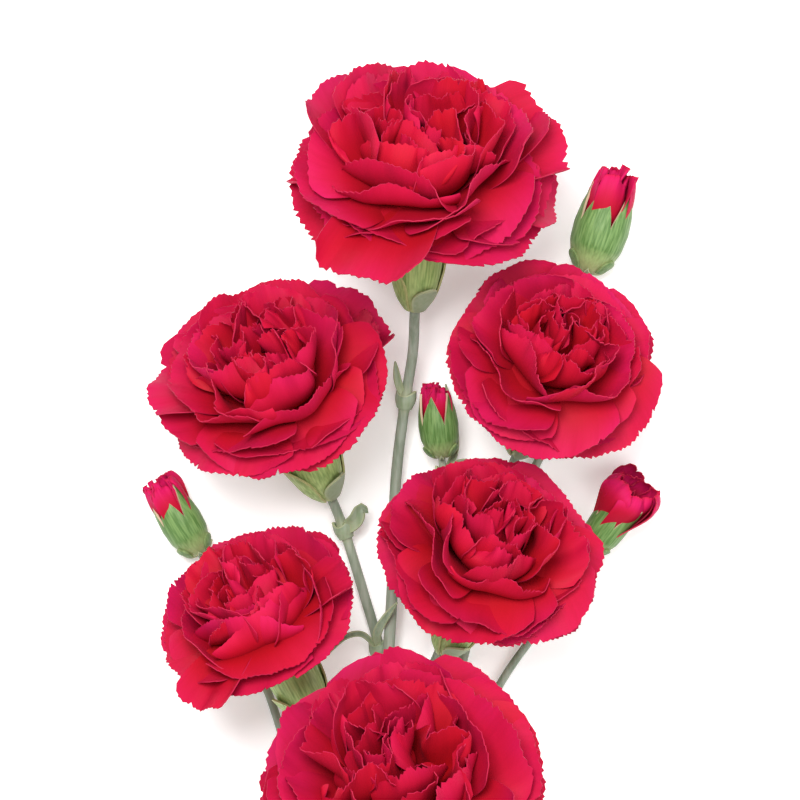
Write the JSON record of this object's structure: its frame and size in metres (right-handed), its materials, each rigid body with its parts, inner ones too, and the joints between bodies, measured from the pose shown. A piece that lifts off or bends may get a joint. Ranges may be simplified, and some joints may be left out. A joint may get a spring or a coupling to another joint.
{
  "type": "cut carnation",
  "caption": "Cut spray carnation lying on a surface: a branched green stem with narrow leaves, open crimson blooms with toothed petals, and buds in toothed calyces",
  "frame": {"origin": "On the surface, at the middle of the spray's footprint.", "axes": "+Z up from the surface. +Y along the spray from its cut end to its topmost flower. +X to the right, seen from above with +Y up."},
  "size_m": [0.1166, 0.2818, 0.0737],
  "materials": {
    "petals": "soft matt crimson petal",
    "calyx": "smooth waxy yellow-green",
    "stem": "smooth grey-green with a waxy bloom"
  },
  "bodies": {
    "root": {"bloom_1_petals": "petals", "bloom_1_calyx": "calyx", "bloom_2_petals": "petals", "bloom_2_calyx": "calyx", "bloom_3_petals": "petals", "bloom_3_calyx": "calyx", "bloom_4_petals": "petals", "bloom_4_calyx": "calyx", "bloom_5_petals": "petals", "bloom_5_calyx": "calyx", "bloom_6_petals": "petals", "bloom_6_calyx": "calyx", "bud_1_petals": "petals", "bud_1_calyx": "calyx", "bud_2_petals": "petals", "bud_2_calyx": "calyx", "bud_3_petals": "petals", "bud_3_calyx": "calyx", "bud_4_petals": "petals", "bud_4_calyx": "calyx", "stem_main": "stem", "branch_bloom_2": "stem", "branch_bloom_3": "stem", "branch_bloom_4": "stem", "branch_bloom_5": "stem", "branch_bloom_6": "stem", "branch_bud_1": "stem", "branch_bud_2": "stem", "branch_bud_3": "stem", "branch_bud_4": "stem"}
  },
  "joints": []
}
